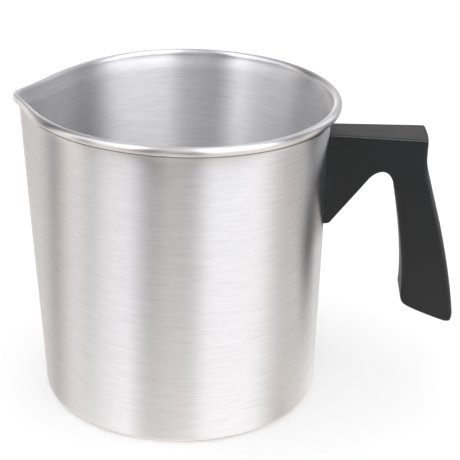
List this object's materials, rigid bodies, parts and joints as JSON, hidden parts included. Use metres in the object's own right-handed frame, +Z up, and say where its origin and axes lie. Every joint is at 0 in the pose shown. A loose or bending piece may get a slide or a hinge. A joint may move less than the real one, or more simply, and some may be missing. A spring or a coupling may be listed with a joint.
{
  "type": "candle melting pot",
  "caption": "Cylindrical aluminium pouring pot for melting wax, with a rolled rim, a pinched V spout and a black moulded side handle opposite the spout.",
  "frame": {"origin": "centre of the flat base, on the pot's axis, where it rests", "axes": "+X from the pot's axis to the handle, with the spout along -X; +Z up through the mouth; the handle's mid-plane and the spout's crease lie in the plane Y = 0"},
  "size_m": [0.2202, 0.1508, 0.1528],
  "materials": {
    "pot_aluminium": "satin, brushed around the pot",
    "handle_plastic": "matte black heat-resistant moulding",
    "bracket_steel": "zinc-plated strip",
    "rivet_aluminium": "satin",
    "fastener_steel": "zinc-plated"
  },
  "bodies": {
    "root": {"pot_shell": "pot_aluminium", "handle": "handle_plastic", "handle_bracket": "bracket_steel", "bracket_rivet_upper": "rivet_aluminium", "bracket_rivet_lower": "rivet_aluminium", "handle_screw": "fastener_steel", "lock_washer": "fastener_steel", "weld_nut": "fastener_steel"}
  },
  "joints": []
}
